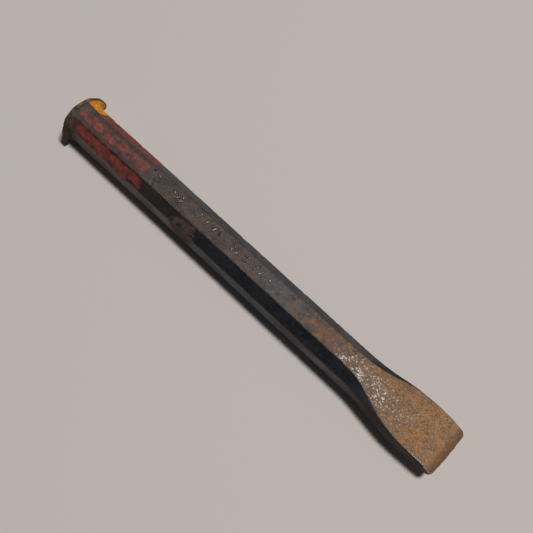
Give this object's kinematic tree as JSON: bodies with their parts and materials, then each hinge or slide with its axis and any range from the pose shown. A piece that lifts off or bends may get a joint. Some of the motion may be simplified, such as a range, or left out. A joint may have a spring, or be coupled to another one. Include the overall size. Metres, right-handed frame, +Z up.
{
  "type": "flat cold chisel",
  "caption": "Flat cold chisel forged from octagonal bar, with a mushroomed struck head and a flared, wedge-shaped blade ground to a cutting edge.",
  "frame": {"origin": "on the resting flat of the bar, under the middle of the chisel's length", "axes": "+X along the bar towards the cutting edge, +Z up out of the opposite flat, the cutting edge parallel to Y"},
  "size_m": [0.18, 0.0202, 0.0152],
  "materials": {
    "lacquered_tool_steel": "worn black lacquer and red enamel over rusty forged tool steel"
  },
  "bodies": {
    "root": {"chisel_forging": "lacquered_tool_steel"}
  },
  "joints": []
}
